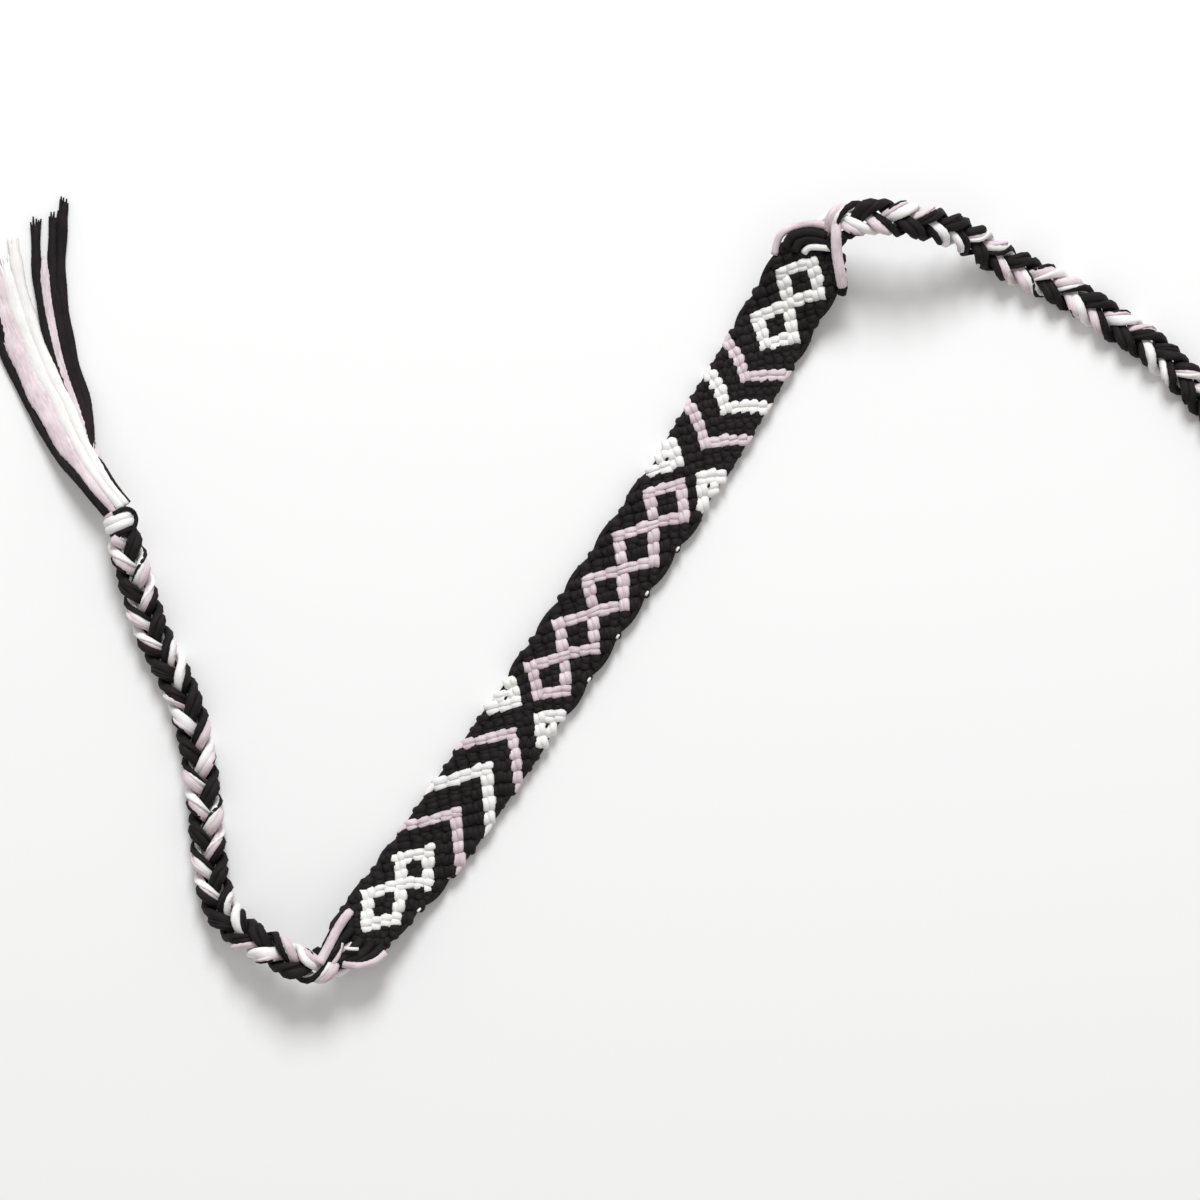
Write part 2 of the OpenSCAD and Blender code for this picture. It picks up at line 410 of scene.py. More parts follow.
@dataclass(frozen=True)
class FlossFinish:
    """Stranded cotton: soft fibres along the plies, with painted shade that deepens the colour between them.

    Attributes:
        floss: The colour and slot.
        hollow_painted_shade: Painted shade: the colour between the fibres, linear.
        crest: Colour on the fibres, linear.
        roughness: How dull the fibres are.
        gloss: Level of the plain reflection.
        sheen: Weight of the soft glow at grazing angles.
        glow: Tint of that glow.
        relief: Strength of the fibres' bump.
    """

    floss: Floss
    hollow_painted_shade: Colour
    crest: Colour
    roughness: float
    gloss: float
    sheen: float
    glow: Colour
    relief: float

    # Noise to each millimetre along the floss and to each turn round it
    FIBRES: ClassVar[Point] = (0.55, 34.0, 1.0)
    PLIES: ClassVar[Point] = (0.6, 5.0, 1.0)
    # Noise to each metre, and its share in the colour
    MOTTLE: ClassVar[float] = 420.0
    MOTTLE_SHARE: ClassVar[float] = 0.4
    PLY_SHARE: ClassVar[float] = 0.5
    # Noise levels at which the painted shade of the hollows and the crests' colour are full
    LEVELS: ClassVar[tuple[float, float]] = (0.3, 0.62)
    SOFTNESS: ClassVar[float] = 0.45
    DEPTH: ClassVar[float] = 0.12

    def material(self) -> bpy.types.Material:
        """Builds the node tree: noise stretched along the floss for fibres and plies, painted shade in the
        fibres' hollows, and mottling.

        Returns:
            The material, named after its slot.
        """
        material = bpy.data.materials.new(self.floss.value)
        tree = Tree(material)
        route = tree.add("ShaderNodeUVMap", {})
        route.uv_map = FLOSS_UV
        lines, bundles = (
            tree.add("ShaderNodeMapping", {"Scale": scale, "Vector": route.outputs["UV"]}).outputs["Vector"]
            for scale in (self.FIBRES, self.PLIES)
        )
        place = tree.add("ShaderNodeTexCoord", {}).outputs["Object"]
        fibres = tree.noise(lines, {"Scale": 1.0, "Detail": 3.0, "Roughness": 0.6})
        plies = tree.noise(bundles, {"Scale": 1.0, "Detail": 1.0})
        mottle = tree.noise(place, {"Scale": self.MOTTLE, "Detail": 2.0})
        height = tree.blend(fibres, plies, self.PLY_SHARE)
        # Painted shade: where the fibres' noise is low the colour falls to the darker hollow colour; the
        # mottle mixed in is random tone
        colours = tree.add("ShaderNodeValToRGB", {"Fac": tree.blend(fibres, mottle, self.MOTTLE_SHARE)})
        elements = colours.color_ramp.elements
        for element, level, colour in zip(elements, self.LEVELS, (self.hollow_painted_shade, self.crest)):
            element.position = level
            element.color = (*colour, 1.0)
        bump = tree.add("ShaderNodeBump", {
            "Strength": self.relief, "Distance": self.DEPTH * MM, "Height": height,
        })
        tree.fill(tree.shader, {
            "Base Color": colours.outputs["Color"],
            "Roughness": self.roughness,
            "Specular IOR Level": self.gloss,
            "Sheen Weight": self.sheen,
            "Sheen Roughness": self.SOFTNESS,
            "Sheen Tint": (*self.glow, 1.0),
            "Normal": bump.outputs["Normal"],
        })
        return material


# In each finish the first colour is the painted shade of the hollows, the second the colour on the crests
FINISHES = (
    FlossFinish(
        BLACK, (0.007, 0.0055, 0.006), (0.021, 0.0165, 0.0175),
        roughness=0.66, gloss=0.12, sheen=0.02, glow=(0.55, 0.52, 0.54), relief=0.8,
    ),
    FlossFinish(
        WHITE, (0.74, 0.72, 0.70), (0.90, 0.885, 0.87),
        roughness=0.75, gloss=0.2, sheen=0.15, glow=(1.0, 1.0, 1.0), relief=0.6,
    ),
    FlossFinish(
        PINK, (0.48, 0.375, 0.41), (0.80, 0.70, 0.74),
        roughness=0.72, gloss=0.2, sheen=0.2, glow=(1.0, 0.92, 0.96), relief=0.6,
    ),
)



@dataclass(frozen=True)
class Loop:
    """A string that loops beside the start of a braid, in millimetres.

    Attributes:
        strand: Number of the strand that it joins.
        floss: Its colour.
        half: Half its width.
        route: Its points: along X, along Y, height.
    """

    strand: int
    floss: Floss
    half: float
    route: tuple[Point, ...]


LOOPS = {
    Side.LEFT: (
        Loop(1, PINK, 0.62, (
            (-54.3, 4.1, 4.3), (-55.6, 4.2, 5.2), (-57.6, 4.1, 5.9), (-59.8, 3.8, 6.5), (-62.0, 3.6, 6.9))),
        Loop(1, BLACK, 0.3, ((-53.6, 4.9, 4.2), (-55.8, 4.9, 5.0), (-57.4, 4.7, 5.6), (-59.8, 4.4, 6.2))),
        Loop(1, PINK, 0.3, ((-57.9, 2.8, 5.2), (-58.9, 2.4, 5.9), (-60.2, 2.0, 6.2), (-61.6, 2.2, 6.0))),
        Loop(0, WHITE, 0.22, ((-57.6, 0.4, 6.3), (-58.1, 1.2, 6.6), (-58.5, 2.0, 6.5))),
        Loop(2, PINK, 0.52, (
            (-56.1, -2.8, 4.5), (-57.9, -2.2, 5.1), (-59.2, -1.2, 5.5), (-59.9, -0.2, 5.7),
            (-60.4, 1.0, 5.7))),
        Loop(2, BLACK, 0.7, ((-55.6, -2.0, 4.2), (-57.4, -1.7, 4.8), (-59.2, -0.4, 5.1), (-60.8, 1.4, 5.0))),
        Loop(0, BLACK, 0.7, ((-56.2, -0.6, 4.5), (-58.0, -0.4, 5.0), (-59.7, 0.6, 5.3), (-61.2, 2.2, 5.2))),
        Loop(0, BLACK, 0.7, ((-56.4, 0.9, 4.6), (-58.3, 0.9, 5.1), (-60.1, 1.5, 5.5), (-61.6, 3.0, 5.6))),
        Loop(0, BLACK, 0.65, ((-55.9, 2.6, 4.5), (-57.8, 2.9, 5.1), (-60.3, 3.0, 5.7), (-61.9, 4.0, 5.8))),
    ),
    Side.RIGHT: (
        Loop(1, PINK, 0.5, (
            (49.4, 6.9, 4.6), (51.6, 7.7, 5.8), (53.4, 7.0, 6.4), (55.1, 5.4, 7.0), (55.9, 3.9, 7.6),
            (56.6, 2.0, 8.0))),
        Loop(0, BLACK, 0.6, ((50.9, 6.2, 5.8), (52.6, 6.3, 6.6), (54.3, 4.6, 7.2), (55.2, 2.6, 7.4))),
        Loop(0, BLACK, 0.55, ((51.2, 5.0, 6.0), (52.6, 5.0, 6.7), (53.9, 3.6, 7.0), (54.6, 1.8, 7.0))),
        Loop(1, WHITE, 0.45, ((51.6, 3.8, 6.1), (52.6, 3.6, 6.6), (53.5, 2.2, 6.9), (54.2, 0.9, 6.9))),
        Loop(2, PINK, 0.7, (
            (57.2, 2.6, 8.6), (55.6, 1.5, 8.6), (53.8, 0.1, 8.0), (52.4, -1.3, 7.2), (50.9, -2.9, 5.9))),
        Loop(2, BLACK, 0.6, ((52.2, -1.6, 6.2), (51.2, -2.8, 5.8), (50.0, -3.4, 5.0))),
    ),
}


class Wardrobe:
    """Turns skeins into finished pieces, each with its floss's material and slot."""

    def __init__(self) -> None:
        """Makes the three materials."""
        self.materials = {finish.floss: finish.material() for finish in FINISHES}

    def dress(self, skein: Skein, name: str, node: str) -> None:
        """Makes the skein an object that rides on the body and stands for its CAD node.

        Args:
            skein: The tubes of one colour.
            name: The piece's name.
            node: The CAD node that it stands for.
        """
        piece = skein.object(name)
        piece.data.materials.append(self.materials[skein.floss])
        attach(piece, BODY)
        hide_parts(node)
        log.info("%s: %d faces, for %s", name, len(piece.data.polygons), node)

    def dress_all(self, skeins: dict[Floss, Skein], name: str, node: str) -> None:
        """Dresses one piece for each colour, named after it."""
        for floss, skein in skeins.items():
            self.dress(skein, f"{name}_{floss.name.lower()}", node)


@dataclass
class Band:
    """The knotted band: a lattice of knots, each two wraps of the leading string round a bed.

    Rows are counted in half rows from the middle. A knot stands where column and row are
    together odd. Lengths are in millimetres, angles in degrees.
    """

    columns: int = 9
    column_pitch: float = 1.1
    thickness: float = 2.2
    row_bow: float = 0.7
    bow_rows: int = 6
    taper_left: float = 0.2
    taper_rows: int = 18
    lift_left: float = 2.8
    lift_right: float = 4.0
    lift_rows: int = 12
    last_row: int = 53
    # Half row, place along X, place along Y
    stations: Array = field(default_factory=lambda: np.array([
        [-53, -56.4, 1.5],
        [-45, -47.9, 0.6],
        [-39, -41.8, 0.0],
        [-27, -28.6, -0.2],
        [-15, -16.7, -0.2],
        [0, 0.0, 0.0],
        [15, 17.2, 0.0],
        [27, 28.8, 0.6],
        [39, 38.9, 1.2],
        [53, 52.6, 2.3],
    ]))
    # For each colour: reach along the leading string, half width, half the distance of two wraps, rise
    wrap_sizes: dict[Floss, tuple[float, float, float, float]] = field(default_factory=lambda: {
        BLACK: (0.62, 0.56, 0.42, 0.0),
        WHITE: (0.7, 0.57, 0.44, 0.12),
        PINK: (0.7, 0.52, 0.36, 0.12),
    })
    wrap_thick: float = 0.35
    wrap_slant: float = 11.0
    wrap_lean: float = 0.16
    wrap_up: float = 0.06
    wrap_stagger: float = 0.05
    wrap_rings: int = 10
    wrap_sides: int = 6
    # Columns drawn in, as shares of the pitch: at the middle, and how much less at the edge
    draw_middle: float = 0.84
    draw_edge: float = 0.06
    falling_narrow: float = 0.92
    cross_narrow: float = 0.72
    cross_reach: float = 1.35
    cross_turn: float = 33.0
    jitter: float = 0.06
    twist: float = 7.0
    uneven: float = 0.08
    # Place along a bed and girth there, as shares of its reach and its full girth
    bed_rings: Array = field(default_factory=lambda: np.array([
        [-1.0, 0.7],
        [-0.6, 1.0],
        [0.0, 1.0],
        [0.6, 1.0],
        [1.0, 0.7],
    ]))
    bed_half: float = 0.66
    bed_height: float = 0.92
    bed_square: float = 0.6
    bed_sides: int = 8
    core_inset: float = 0.5
    core_past: float = 0.1
    core_square: float = 0.5
    core_sides: int = 24
    # Heights as shares of the thickness: an edge string's ends, and how much higher its middle
    arc_low: float = 0.42
    arc_rise: float = 0.22
    arc_tuck: float = 0.3
    arc_radius: float = 0.4
    speck_radius: float = 0.17
    speck_half: float = 0.22
    speck_past: float = 0.15
    speck_up: float = 0.06

    # The pattern, in half rows from the middle
    DIAMOND: ClassVar[int] = 6
    PINK_DIAMONDS: ClassVar[tuple[int, ...]] = (0, 6, 12)
    PINK_MEET: ClassVar[tuple[int, ...]] = (3, 9)
    PINK_END: ClassVar[int] = 16
    TRIANGLE: ClassVar[int] = 17
    TRIANGLE_TIP: ClassVar[int] = 2
    PINK_CHEVRONS: ClassVar[tuple[int, ...]] = (21, 33)
    WHITE_CHEVRON: ClassVar[int] = 27
    PALE_TURNS: ClassVar[dict[int, Floss]] = {26: PINK, 32: WHITE, 38: PINK}
    PLAIN_TURNS: ClassVar[range] = range(20, 40, 2)
    WHITE_START: ClassVar[int] = 39
    WHITE_DIAMONDS: ClassVar[tuple[int, ...]] = (42, 48)
    WHITE_END: ClassVar[int] = 51
    SPECKS: ClassVar[tuple[int, ...]] = (-45, -9, -3, 3, 9)

    @property
    def middle(self) -> int:
        """The number of the middle column."""
        return (self.columns - 1) // 2

    @property
    def edge(self) -> float:
        """Distance of the outer columns from the middle line."""
        return self.middle * self.column_pitch

    def place(self, row: Array) -> Array:
        """Middle line of the band at the half rows: a smooth curve through the stations.

        Args:
            row: Half rows, which may be fractions.

        Returns:
            One point in each row, at height 0.
        """
        marks = self.stations[:, 0]
        index = np.clip(np.searchsorted(marks, row, side="right") - 1, 0, len(marks) - 2)
        low, high = marks[index], marks[index + 1]
        curve = catmull(self.stations, index, (row - low) / (high - low))
        return np.stack([curve[:, 1], curve[:, 2], np.zeros(len(row))], axis=-1)

    def along(self, row: Array) -> Array:
        """Direction of the middle line at the half rows."""
        ahead, behind = np.minimum(row + 1, self.last_row), np.maximum(row - 1, -self.last_row)
        return unit(self.place(ahead) - self.place(behind))

    def point(self, row: Array, across: Array, up: Array) -> Array:
        """Points of the band: its rows bow back at the edges and its ends lift off the surface.

        Args:
            row: Half rows, which may be fractions.
            across: Distances from the middle line.
            up: Heights over the underside.

        Returns:
            One point in each row.
        """
        given = (np.atleast_1d(np.asarray(x, float)) for x in (row, across, up))
        row, across, up = np.broadcast_arrays(*given)
        d = self.along(row)
        side = np.stack([-d[:, 1], d[:, 0], np.zeros(len(row))], axis=-1)
        bow = self.row_bow * ease((self.last_row - np.abs(row)) / self.bow_rows)
        lag = bow * (across / self.edge) ** 2
        lift = np.where(row < 0, self.lift_left, self.lift_right)
        lift = lift * ease((np.abs(row) - self.last_row + self.lift_rows) / self.lift_rows)
        kept = 1.0 - self.taper_left * ease((self.taper_rows - self.last_row - row) / self.taper_rows)
        level = self.place(row) + (kept * across)[:, None] * side - lag[:, None] * d
        return level + heights(lift + up)

    def knots(self) -> tuple[Array, Array]:
        """Rows and columns of all knots: where column and row are together odd.

        Returns:
            Half row and column of each knot.
        """
        rows, columns = np.arange(-self.last_row, self.last_row + 1), np.arange(self.columns)
        row, column = np.meshgrid(rows, columns, indexing="ij")
        corner = (np.abs(row) == self.last_row) & (np.abs(column - self.middle) == self.middle)
        held = ((row + column) % 2 == 1) & ~corner
        return row[held], column[held]

    def colours(self, row: Array, column: Array) -> Array:
        """The pattern, from rules: diamonds, chevrons and edge triangles, mirrored about the middle.

        Args:
            row: Half rows of the knots.
            column: Columns of the knots.

        Returns:
            One Floss for each knot.
        """
        a, b = np.abs(column - self.middle), np.abs(row)
        pink = np.isin(b - a, self.PINK_CHEVRONS)
        for centre in self.PINK_DIAMONDS:
            pink |= a + np.abs(b - centre) == self.DIAMOND // 2
        white = (b - a == self.WHITE_CHEVRON) | (a - self.TRIANGLE_TIP >= np.abs(b - self.TRIANGLE))
        for centre in self.WHITE_DIAMONDS:
            white |= a + np.abs(b - centre) == self.DIAMOND // 2
        return np.where(pink, PINK, np.where(white, WHITE, BLACK))

    def slopes(self, row: Array, column: Array) -> Array:
        """Which way the leading string climbs through each knot: 1 towards +X and +Y, else -1.

        Args:
            row: Half rows of the knots.
            column: Columns of the knots.

        Returns:
            One number for each knot.
        """
        a, b = column - self.middle, np.abs(row)
        half, last = self.DIAMOND // 2, self.PINK_DIAMONDS[-1]
        local = np.where(b > last, b - last, (b + half) % self.DIAMOND - half)
        local = np.where(b >= self.WHITE_START, (b - self.WHITE_START) % self.DIAMOND - half, local)
        diamond = (b <= self.PINK_END) | ((b >= self.WHITE_START) & (b < self.WHITE_END))
        outward = np.where(diamond & (local >= 0), -1, 1)
        slope = outward * np.where(row < 0, -1, 1) * np.where(a < 0, -1, 1)
        return np.where(self.crossings(row, column), -1, slope)

    def crossings(self, row: Array, column: Array) -> Array:
        """Whether two pink lines cross at a knot, where one string runs on over the other."""
        return (column == self.middle) & np.isin(np.abs(row), self.PINK_MEET)

    def frames(self, row: Array, column: Array, up: float) -> tuple[Array, Array, Array, Array]:
        """Place of each knot, and unit directions along the band, across it and out of it.

        Args:
            row: Half rows of the knots.
            column: Columns of the knots.
            up: Height of the places over the underside.

        Returns:
            The places and the three directions, each with one vector in each row.
        """
        a = column - self.middle
        across = a * self.column_pitch * (self.draw_middle + self.draw_edge * (a / self.middle) ** 2)
        centre = self.point(row, across, up)
        ahead = self.point(np.minimum(row + 0.5, self.last_row), across, up)
        behind = self.point(np.maximum(row - 0.5, -self.last_row), across, up)
        d = unit(ahead - behind)
        side = unit(self.point(row, across + 0.5, up) - self.point(row, across - 0.5, up))
        return centre, d, side, unit(np.cross(d, side))

    def wraps(self, row: Array, column: Array, floss: Floss, rng: np.random.Generator) -> tuple[Array, Array]:
        """Both wraps of each knot: an oval loop about the base string, as a closed ring of rings.

        The loop lies in the plane of the leading string and the upright, and the second wrap
        sits beside the first along the base string.

        Args:
            row: Half rows of the knots.
            column: Columns of the knots.
            floss: Colour of the knots, which sets the size of their wraps.
            rng: Source of the small unevenness.

        Returns:
            Rings for every wrap and the lengths along them.
        """
        long, broad, apart, over = self.wrap_sizes[floss]
        row, column = np.repeat(row, 2), np.repeat(column, 2)
        number = len(row)
        which = np.tile([-1.0, 1.0], number // 2)
        slope = self.slopes(row, column).astype(float)
        centre, d, side, out = self.frames(row, column, self.thickness / 2 + self.wrap_up + over)
        cross = self.crossings(row, column)
        turn = np.radians(np.where(cross, self.cross_turn, DIAGONAL) + rng.normal(0.0, self.twist, number))
        lead = np.cos(turn)[:, None] * d + (slope * np.sin(turn))[:, None] * side
        swing = np.radians(DIAGONAL - self.wrap_slant)
        base = np.cos(swing) * d - (slope * np.sin(swing))[:, None] * side
        falling = (slope < 0) & (floss is not BLACK)
        narrow = np.where(cross, self.cross_narrow, np.where(falling, self.falling_narrow, 1.0))
        shift = which * apart * narrow + rng.normal(0.0, self.jitter, number)
        centre = centre + shift[:, None] * base + rng.normal(0.0, self.jitter, (number, 1)) * lead
        centre = centre + (which * self.wrap_stagger)[:, None] * out
        size = 1.0 + rng.normal(0.0, self.uneven, number)
        phi = circle(self.wrap_rings)
        reach = (long * size * np.where(cross, self.cross_reach, 1.0))[:, None]
        tall = self.thickness / 2 - self.wrap_thick
        flat, high = reach * np.sin(phi), tall * np.cos(phi)
        lean = self.wrap_lean * flat
        path = centre[:, None] + flat[..., None] * lead[:, None] + (high + lean)[..., None] * out[:, None]
        radial = unit(np.sin(phi)[None, :, None] * lead[:, None] + np.cos(phi)[None, :, None] * out[:, None])
        onward = unit(np.roll(path, -1, axis=1) - np.roll(path, 1, axis=1))
        axis = unit(np.cross(radial, onward))
        psi = circle(self.wrap_sides)
        wide = (broad * size * narrow)[:, None, None, None]
        ring = np.sin(psi)[None, None, :, None] * radial[:, :, None] * self.wrap_thick
        ring = ring - np.cos(psi)[None, None, :, None] * axis[:, :, None] * wide
        girth = 2 * np.pi * math.sqrt((long**2 + tall**2) / 2)
        lengths = girth * np.arange(self.wrap_rings + 1) / self.wrap_rings
        offset = rng.uniform(0.0, MAP_SPREAD, (number, 1))
        return path[:, :, None] + ring, offset + lengths[None]

    def beds(self, row: Array, column: Array, rng: np.random.Generator) -> tuple[Array, Array]:
        """What fills a knot inside: a short stout tube through it, along its leading string.

        Args:
            row: Half rows of the knots.
            column: Columns of the knots.
            rng: Source of each tube's place on the floss's map.

        Returns:
            Rings for every tube and the lengths along them.
        """
        slope = self.slopes(row, column).astype(float)
        centre, d, side, out = self.frames(row, column, self.thickness / 2)
        lead = unit(d + slope[:, None] * side)
        t, girth = self.bed_rings.T
        reach = self.column_pitch * math.sqrt(2) / 2
        path = centre[:, None] + (t * reach)[None, :, None] * lead[:, None]
        psi = circle(self.bed_sides)
        flank = np.cross(out, lead)
        flat, high = squared(np.cos(psi), self.bed_square), squared(np.sin(psi), self.bed_square)
        ring = flat[None, :, None] * flank[:, None] * self.bed_half
        ring = ring + high[None, :, None] * out[:, None] * self.bed_height
        rings = path[:, :, None] + girth[None, :, None, None] * ring[:, None]
        offset = rng.uniform(0.0, MAP_SPREAD, (len(row), 1))
        return rings, offset + (t * reach)[None]

    def core(self) -> tuple[Array, Array]:
        """One flat closed black sheath inside the knots that shuts the small gaps: partly the base strings,
        partly painted shade where the gaps show dark.

        Returns:
            The rings of one tube and the length along it.
        """
        rows = np.arange(-self.last_row, self.last_row + 0.1, 1.0)
        angle = circle(self.core_sides)
        half = self.edge + self.core_past
        tall = self.thickness / 2 - self.core_inset
        across = half * squared(np.cos(angle), self.core_square)
        up = self.thickness / 2 + tall * squared(np.sin(angle), self.core_square)
        grid_row, grid_across = np.meshgrid(rows, across, indexing="ij")
        points = self.point(grid_row.ravel(), grid_across.ravel(), np.tile(up, len(rows)))
        return points.reshape(1, len(rows), self.core_sides, 3), rows[None] * self.column_pitch

    def turn(self, far: int) -> Turn | None:
        """How a string turns back at the edge, far half rows from the middle, if one does there.

        Args:
            far: Half rows from the band's middle.

        Returns:
            The kind of turn, or None.
        """
        if far in self.PALE_TURNS:
            return Turn.PALE
        if self.PINK_DIAMONDS[-1] < far < self.WHITE_DIAMONDS[0]:
            return Turn.PLAIN if far in self.PLAIN_TURNS else None
        return {0: Turn.CREST, self.DIAMOND // 2: Turn.DIP}.get(far % self.DIAMOND)

    def edge_arcs(self) -> list[tuple[Floss, Array]]:
        """Strings that turn back at the edges: a bulging arc beside each gap in the edge knots.

        Returns:
            The colour and the path of each arc.
        """
        arcs: list[tuple[Floss, Array]] = []
        t = np.linspace(-1.0, 1.0, 9)
        for side in (-1.0, 1.0):
            for row in range(-self.last_row + 1, self.last_row):
                turn = self.turn(abs(row))
                if turn is None:
                    continue
                reach, bulge, lift = turn.value
                rows = np.clip(row + reach * t, -self.last_row, self.last_row)
                across = side * (self.edge + bulge * (1 - t**2) - self.arc_tuck * t**2)
                height = self.thickness * (self.arc_low + lift + self.arc_rise * (1 - t**2))
                floss = self.PALE_TURNS.get(abs(row), BLACK)
                arcs.append((floss, self.point(rows, across, height)))
        return arcs

    def specks(self) -> list[tuple[Floss, Array]]:
        """Short bits of floss: white ones in the gaps along one edge, and a black one in each white triangle.

        Returns:
            The colour and the path of each bit.
        """
        t = np.linspace(-1.0, 1.0, 4)
        white = [(WHITE, row, -self.edge - self.speck_past) for row in self.SPECKS]
        rows = (-self.TRIANGLE, self.TRIANGLE)
        black = [(BLACK, row, side * (self.edge - self.column_pitch)) for row in rows for side in (-1.0, 1.0)]
        height = self.thickness + self.speck_up - self.arc_tuck * t**2
        return [
            (floss, self.point(row + self.speck_half * t, across, height))
            for floss, row, across in white + black
        ]

    def build(self, wardrobe: Wardrobe) -> None:
        """Makes the knots as one piece for each colour, standing for the band.

        Args:
            wardrobe: What dresses the pieces.
        """
        rng = np.random.default_rng(SEED)
        row, column = self.knots()
        colour = self.colours(row, column)
        skeins = {floss: Skein(floss) for floss in Floss}
        for floss, skein in skeins.items():
            mine = colour == floss
            skein.add(*self.wraps(row[mine], column[mine], floss, rng), closed=True)
            skein.add(*self.beds(row[mine], column[mine], rng))
        # Black core all along the band: the base strings, and painted shade in the gaps between knots
        skeins[BLACK].add(*self.core())
        arc_string = String(radius=self.arc_radius, sides=10, ridge=0.06)
        for floss, path in self.edge_arcs():
            skeins[floss].add(*arc_string.rings(path, UPRIGHT))
        bit = String(radius=self.speck_radius, sides=8, ridge=0.0)
        for floss, path in self.specks():
            skeins[floss].add(*bit.rings(path, UPRIGHT))
        wardrobe.dress_all(skeins, "band_knots", "band")


@dataclass
class Braid:
    """A braid of three flat strands; each gathers its own strings as they leave the band.

    A strand swings across by a sine of its turn and rises by a sine of twice its turn, and it
    rolls over as it rounds an edge. Its strings lie side by side and take turns at being the
    widest. Lengths are in millimetres.
    """

    side: Side
    route: Array
    # Colour of each string, and a length along the braid at which it is widest
    strands: tuple[tuple[tuple[Floss, float], ...], ...] = (
        ((BLACK, 56.0), (BLACK, 50.0), (WHITE, 31.0), (PINK, 39.0)),
        ((WHITE, 47.0), (PINK, 36.0), (BLACK, 60.0)),
        ((BLACK, 20.0), (BLACK, 31.0), (BLACK, 43.0)),
    )
    # The strands in their order across the band's end
    order: tuple[int, ...] = (2, 0, 1)
    pale_share: float = 1.7
    swing: float = 1.5
    rise: float = 1.1
    period: float = 11.5
    fan_len: float = 4.0
    gather_len: float = 3.0
    fan_half: float = 3.3
    fan_radius: float = 0.56
    strand_wide: float = 2.3
    string_tall: float = 0.6
    # Height of the thinnest string as a share of that, and the share of the strand at which it is full
    thin_tall: float = 0.4
    full_share: float = 1 / 3
    overlap: float = 1.12
    change: float = 0.75
    change_len: float = 34.0
    roll_middle: float = -90.0
    roll_swing: float = 130.0
    inside: float = 1.4
    past: float = 0.6
    loop_step: float = 0.4
    # How far one string's plies and map lie from the next one's
    ply_phase: float = 0.13
    map_step: float = 100.0

    def __post_init__(self) -> None:
        """Works out the rail."""
        self.rail = Rail(self.route)

    def shares(self, k: int, s: Array) -> Array:
        """Share of strand k's width that each of its strings takes: one plus a cosine about its peak.

        Args:
            k: Number of the strand.
            s: Lengths along the braid's rail.

        Returns:
            Shares as string, length; the pale strings are less tightly drawn and take more.
        """
        peaks = np.array([peak for _, peak in self.strands[k]])
        full = np.array([1.0 if floss is BLACK else self.pale_share for floss, _ in self.strands[k]])
        weight = 1.0 + self.change * np.cos(2 * np.pi * (s[None] - peaks[:, None]) / self.change_len)
        weight = weight * full[:, None]
        return weight / weight.sum(axis=0)

    def string(self, k: int, j: int, s: Array) -> tuple[Array, Array, Array, Array]:
        """String j of strand k at the lengths s.

        Args:
            k: Number of the strand.
            j: Number of the string in the strand.
            s: Lengths along the braid's rail.

        Returns:
            The middle line, the upright directions, the half widths and the half heights.
        """
        _, across, up = self.rail.frame(s)
        turn = 2 * np.pi * (np.maximum(s - self.fan_len, 0.0) / self.period + k / 3)
        gather = ease(s / self.gather_len)
        share = self.shares(k, s)
        place = self.strand_wide * (share[:j].sum(axis=0) + share[j] / 2 - 0.5)
        roll = np.radians(self.roll_middle + self.roll_swing * np.cos(turn)) * gather
        lateral = self.swing * np.sin(turn) + place * np.cos(roll)
        lift = self.rise * np.sin(2 * turn) + place * np.sin(roll)
        level = mix(self.start(k, j), lateral, gather)
        path = self.rail.point(s) + level[:, None] * across + (lift * gather)[:, None] * up
        upright = np.cos(roll)[:, None] * up - np.sin(roll)[:, None] * across
        half = mix(self.fan_radius, self.strand_wide * self.overlap * share[j] / 2, gather)
        full = mix(self.thin_tall, 1.0, ease(share[j] / self.full_share))
        tall = mix(self.fan_radius, self.string_tall * full, gather)
        return path, upright, half, tall

    def start(self, k: int, j: int) -> float:
        """Distance from the middle line at which a string leaves the band's end.

        Args:
            k: Number of the strand.
            j: Number of the string in the strand.

        Returns:
            The distance, less than 0 towards -Y.
        """
        before = sum(len(self.strands[n]) for n in self.order[:self.order.index(k)])
        total = sum(len(strand) for strand in self.strands)
        return (before + j - (total - 1) / 2) * 2 * self.fan_half / (total - 1)

    def build(self, wardrobe: Wardrobe) -> None:
        """Makes the strings of each strand and the loops beside it, one piece for each colour.

        Args:
            wardrobe: What dresses the pieces.
        """
        floss_string = String(radius=1.0, ridge=0.07)
        loop_string = String(radius=1.0, ridge=0.16, pitch=7.0)
        length = self.rail.length + self.inside
        s = np.linspace(-self.inside, self.rail.length + self.past, int(length / floss_string.step))
        for k, strings in enumerate(self.strands):
            node = f"braid_{self.side.value}_{k + 1}"
            skeins: dict[Floss, Skein] = {}
            for j, (floss, _) in enumerate(strings):
                number = 3 * k + j
                rings, lengths = floss_string.rings(*self.string(k, j, s), phase=self.ply_phase * number)
                skeins.setdefault(floss, Skein(floss)).add(rings, lengths + self.map_step * number)
            for loop in LOOPS[self.side]:
                if loop.strand == k:
                    rail = Rail(np.array(loop.route))
                    points = max(4, int(rail.length / self.loop_step))
                    path = rail.point(np.linspace(0.0, rail.length, points))
                    rings, lengths = loop_string.rings(path, UPRIGHT, loop.half, loop.half)
                    skeins.setdefault(loop.floss, Skein(loop.floss)).add(rings, lengths)
            wardrobe.dress_all(skeins, node, node)


